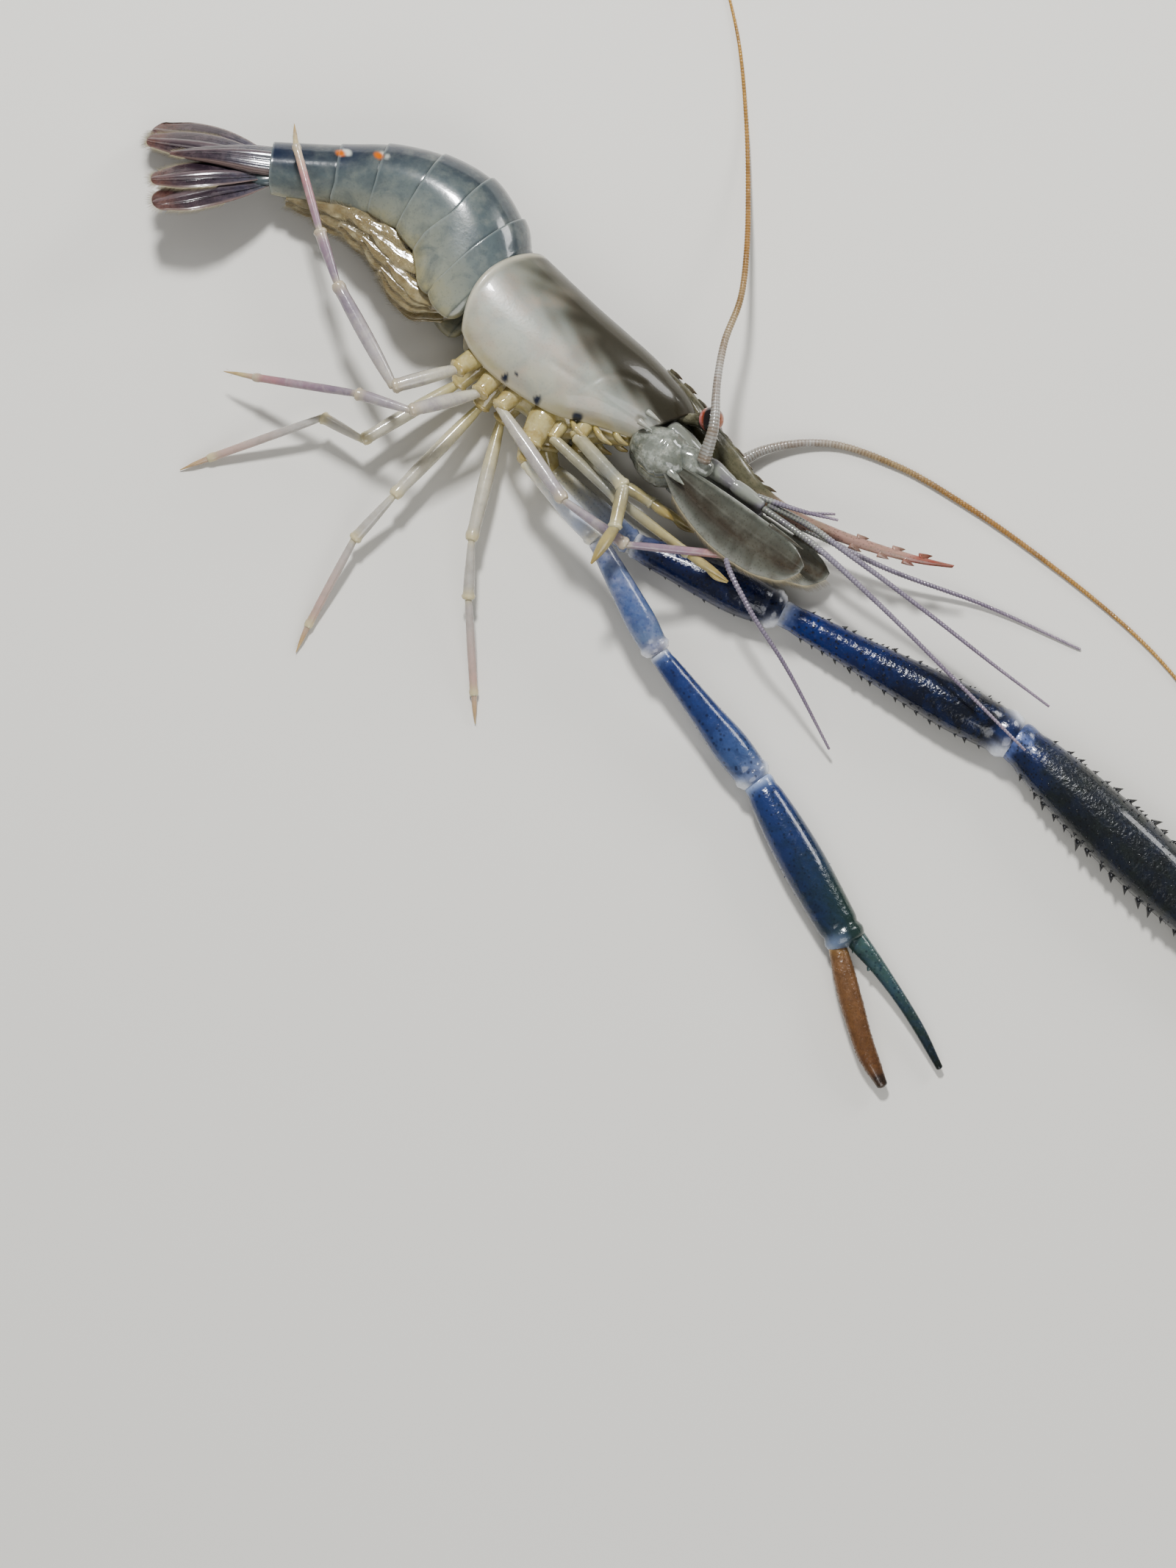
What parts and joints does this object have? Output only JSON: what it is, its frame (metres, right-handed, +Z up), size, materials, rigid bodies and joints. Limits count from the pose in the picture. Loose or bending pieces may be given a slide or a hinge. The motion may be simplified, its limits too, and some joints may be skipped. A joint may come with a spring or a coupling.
{
  "type": "giant river prawn",
  "caption": "Life-size giant river prawn lying still on its left side, with one pale blue arm, one longer dark spiny arm, legs, feelers and tail fan.",
  "frame": {"origin": "middle of the bounding box at floor level", "axes": "+X the way the head points, +Y the animal's back, +Z up, which is the animal's right flank"},
  "size_m": [0.4102, 0.2134, 0.0301],
  "materials": {
    "carapace_shell": "gloss",
    "abdomen_shell": "gloss",
    "tail_fan": "gloss",
    "rostrum": "gloss",
    "underside": "satin",
    "eye": "gloss",
    "feeler": "satin",
    "scale": "gloss",
    "leg_shell": "gloss",
    "right_arm_shell": "gloss",
    "left_arm_shell": "gloss",
    "velvet_finger": "matte"
  },
  "bodies": {
    "root": {"antenna_base_left": "underside", "antenna_base_right": "underside", "antenna_far_left": "feeler", "antenna_far_right": "feeler", "antenna_middle_left": "feeler", "antenna_near_left": "feeler", "antenna_near_right": "feeler", "antenna_scale_left": "scale", "antenna_scale_right": "scale", "antennule_inner_left": "feeler", "antennule_inner_right": "feeler", "antennule_left": "feeler", "antennule_outer_left": "feeler", "antennule_outer_right": "feeler", "antennule_right": "feeler", "carapace": "carapace_shell", "eye_left": "eye", "eye_right": "eye", "left_arm_carpus": "left_arm_shell", "left_arm_finger": "left_arm_shell", "left_arm_fixed_finger": "left_arm_shell", "left_arm_ischium": "left_arm_shell", "left_arm_merus": "left_arm_shell", "left_arm_palm": "left_arm_shell", "left_leg_1": "leg_shell", "left_leg_3_lower": "leg_shell", "left_leg_3_upper": "leg_shell", "left_leg_4_lower": "leg_shell", "left_leg_4_upper": "leg_shell", "left_leg_5_lower": "leg_shell", "left_leg_5_upper": "leg_shell", "left_maxilliped": "leg_shell", "right_arm_carpus": "right_arm_shell", "right_arm_finger": "velvet_finger", "right_arm_fixed_finger": "right_arm_shell", "right_arm_ischium": "right_arm_shell", "right_arm_merus": "right_arm_shell", "right_arm_palm": "right_arm_shell", "right_leg_1": "leg_shell", "right_leg_3_lower": "leg_shell", "right_leg_3_upper": "leg_shell", "right_leg_4_lower": "leg_shell", "right_leg_4_upper": "leg_shell", "right_leg_5_lower": "leg_shell", "right_leg_5_root": "leg_shell", "right_leg_5_upper": "leg_shell", "right_maxilliped": "leg_shell", "rostrum": "rostrum", "somite_1": "abdomen_shell", "somite_2": "abdomen_shell", "somite_3": "abdomen_shell", "somite_4": "abdomen_shell", "somite_5": "abdomen_shell", "somite_6": "abdomen_shell", "telson": "tail_fan", "thorax_underside": "underside", "uropod_inner_left": "tail_fan", "uropod_inner_right": "tail_fan", "uropod_outer_left": "tail_fan", "uropod_outer_right": "tail_fan"}
  },
  "joints": []
}
